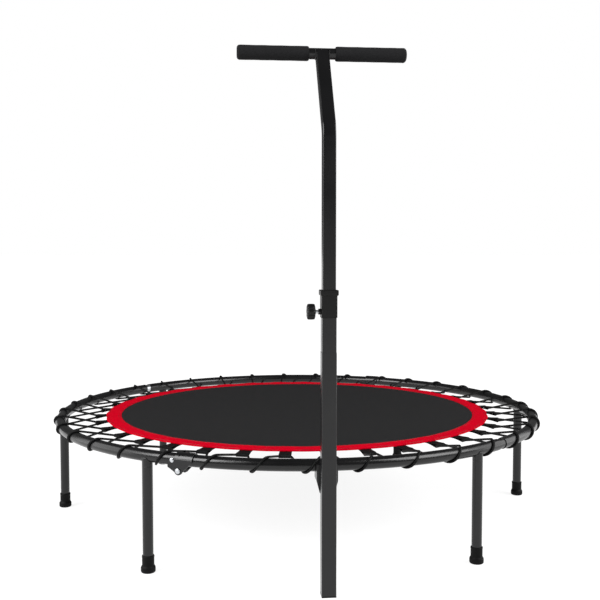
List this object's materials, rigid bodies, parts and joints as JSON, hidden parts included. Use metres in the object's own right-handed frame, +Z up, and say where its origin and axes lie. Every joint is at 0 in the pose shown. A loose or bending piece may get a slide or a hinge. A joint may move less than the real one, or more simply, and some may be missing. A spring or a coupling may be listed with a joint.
{
  "type": "mini trampoline",
  "caption": "Round fold-in-half rebounder: elastic-laced mat in a tube ring on screw-in legs, with a square post and a height-adjustable T handle.",
  "frame": {"origin": "on the floor, at the middle of the footprint box (ring and handle post together)", "axes": "+Z up; the handle post stands on the -Y side and the T bar runs along X; +Y points from the post across the mat"},
  "size_m": [1.2316, 1.2793, 1.0635],
  "materials": {
    "frame_black": "satin black powder coat on steel tube",
    "handle_black": "semi-matt black powder coat on steel tube",
    "zinc": "bright zinc plating",
    "foot_rubber": "moulded black rubber",
    "grip_foam": "matt closed-cell foam",
    "black_plastic": "moulded, fine texture",
    "mat_fabric": "woven polypropylene, matt",
    "border_fabric": "woven polyester band, red",
    "webbing": "ribbed woven webbing",
    "bungee": "braided sheath over latex core"
  },
  "bodies": {
    "frame_right": {"ring_arc_front": "frame_black", "ring_arc_right": "frame_black", "hinge_bracket_front": "frame_black", "hinge_bracket_rear": "frame_black", "hinge_bolts": "zinc", "hinge_nuts": "zinc", "spigot_right": "frame_black", "leg_sockets_right": "frame_black", "leg_studs_right": "zinc", "leg_inserts_right": "zinc", "leg_front_right": "frame_black", "foot_front_right": "foot_rubber", "leg_side_right": "frame_black", "foot_side_right": "foot_rubber", "leg_rear_right": "frame_black", "foot_rear_right": "foot_rubber", "post_bracket": "frame_black", "post_bolts": "zinc", "post_lower": "frame_black", "post_upper": "frame_black", "post_base_plug": "black_plastic", "post_collar": "black_plastic", "lock_boss": "handle_black", "mat_right": "mat_fabric", "mat_border_right": "border_fabric", "mat_tabs_right": "webbing", "bungee_right": "bungee"},
    "frame_left": {"ring_arc_rear": "frame_black", "ring_arc_left": "frame_black", "hinge_tongue_front": "frame_black", "hinge_tongue_rear": "frame_black", "hinge_rivets": "zinc", "spigot_left": "zinc", "leg_sockets_left": "frame_black", "leg_studs_left": "zinc", "leg_inserts_left": "zinc", "leg_front_left": "frame_black", "leg_side_left": "frame_black", "leg_rear_left": "frame_black", "foot_front_left": "foot_rubber", "foot_side_left": "foot_rubber", "foot_rear_left": "foot_rubber", "mat_left": "mat_fabric", "mat_border_left": "border_fabric", "mat_tabs_left": "webbing", "bungee_left": "bungee"},
    "handle": {"handle_stem": "handle_black", "stem_glide": "black_plastic", "hand_bar": "handle_black", "bar_plugs": "black_plastic", "grip_left": "grip_foam", "grip_right": "grip_foam"},
    "lock_washer": {"lock_washer": "black_plastic"},
    "lock_knob": {"lock_knob": "black_plastic", "lock_screw": "zinc"}
  },
  "joints": [
    {"name": "frame_fold", "type": "hinge", "parent": "frame_right", "child": "frame_left", "pos_m": [0, 0.02355, 0.222], "axis": [-0.471, -0.8821, 0], "range_deg": [0, 100]},
    {"name": "handle_height", "type": "slide", "parent": "frame_right", "child": "handle", "axis": [0, 0, 1], "range_m": [-0.1, 0.1]},
    {"name": "lock_screw_travel", "type": "slide", "parent": "frame_right", "child": "lock_washer", "axis": [-1, 0, 0], "range_m": [0, 0.00305]},
    {"name": "lock_knob_turn", "type": "hinge", "parent": "lock_washer", "child": "lock_knob", "pos_m": [-0.03, -0.62295, 0.546], "axis": [-1, 0, 0], "range_deg": [0, 1080]}
  ],
  "couplings": [
    {"joint": "lock_screw_travel", "follows": "lock_knob_turn", "m_per_rad": 0.00015915}
  ]
}
